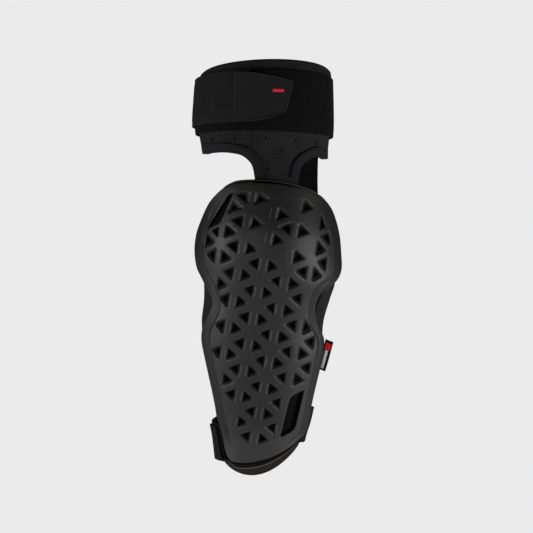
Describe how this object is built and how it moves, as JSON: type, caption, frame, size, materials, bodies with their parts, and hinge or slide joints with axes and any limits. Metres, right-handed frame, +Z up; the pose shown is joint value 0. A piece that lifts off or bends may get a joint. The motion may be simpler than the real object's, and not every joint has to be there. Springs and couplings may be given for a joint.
{
  "type": "elbow guard",
  "caption": "Worn elbow and forearm guard: a padded cuff with a hook-and-loop strap, a mesh elbow panel, a knitted forearm sleeve and a moulded lattice shell over a pad.",
  "frame": {"origin": "on the arm's centre line at the middle height of the upper strap, where the cuff is strapped round the upper arm", "axes": "+Z up along the upper arm, -Y towards the shell's side, +X to the right as the shell is looked at"},
  "size_m": [0.1242, 0.1376, 0.3417],
  "materials": {
    "jersey": "smooth padded jersey, charcoal black",
    "loop": "brushed loop pile, matt black",
    "elastic": "smooth woven elastic, dark grey",
    "tab_rubber": "moulded rubber, satin dark grey",
    "mesh": "open diamond mesh, black with grey yarns",
    "tape": "stitched folded tape, black",
    "knit": "stretch knit, charcoal",
    "pad_cover": "mesh-covered foam, matt black",
    "shell": "moulded flexible plastic, satin dark grey",
    "label": "woven label, black with a red block and a white stripe"
  },
  "bodies": {
    "root": {"arm_cuff": "jersey", "loop_wrap": "loop", "upper_strap": "elastic", "pull_tab": "tab_rubber", "elbow_panel": "mesh", "left_binding": "tape", "right_binding": "tape", "back_band": "elastic", "sleeve_front": "knit", "forearm_sleeve": "knit", "sleeve_hem": "jersey", "foam_pad": "pad_cover", "pad_binding": "tape", "shell": "shell", "forearm_strap": "elastic", "forearm_strap_end": "elastic", "side_label": "label"}
  },
  "joints": []
}
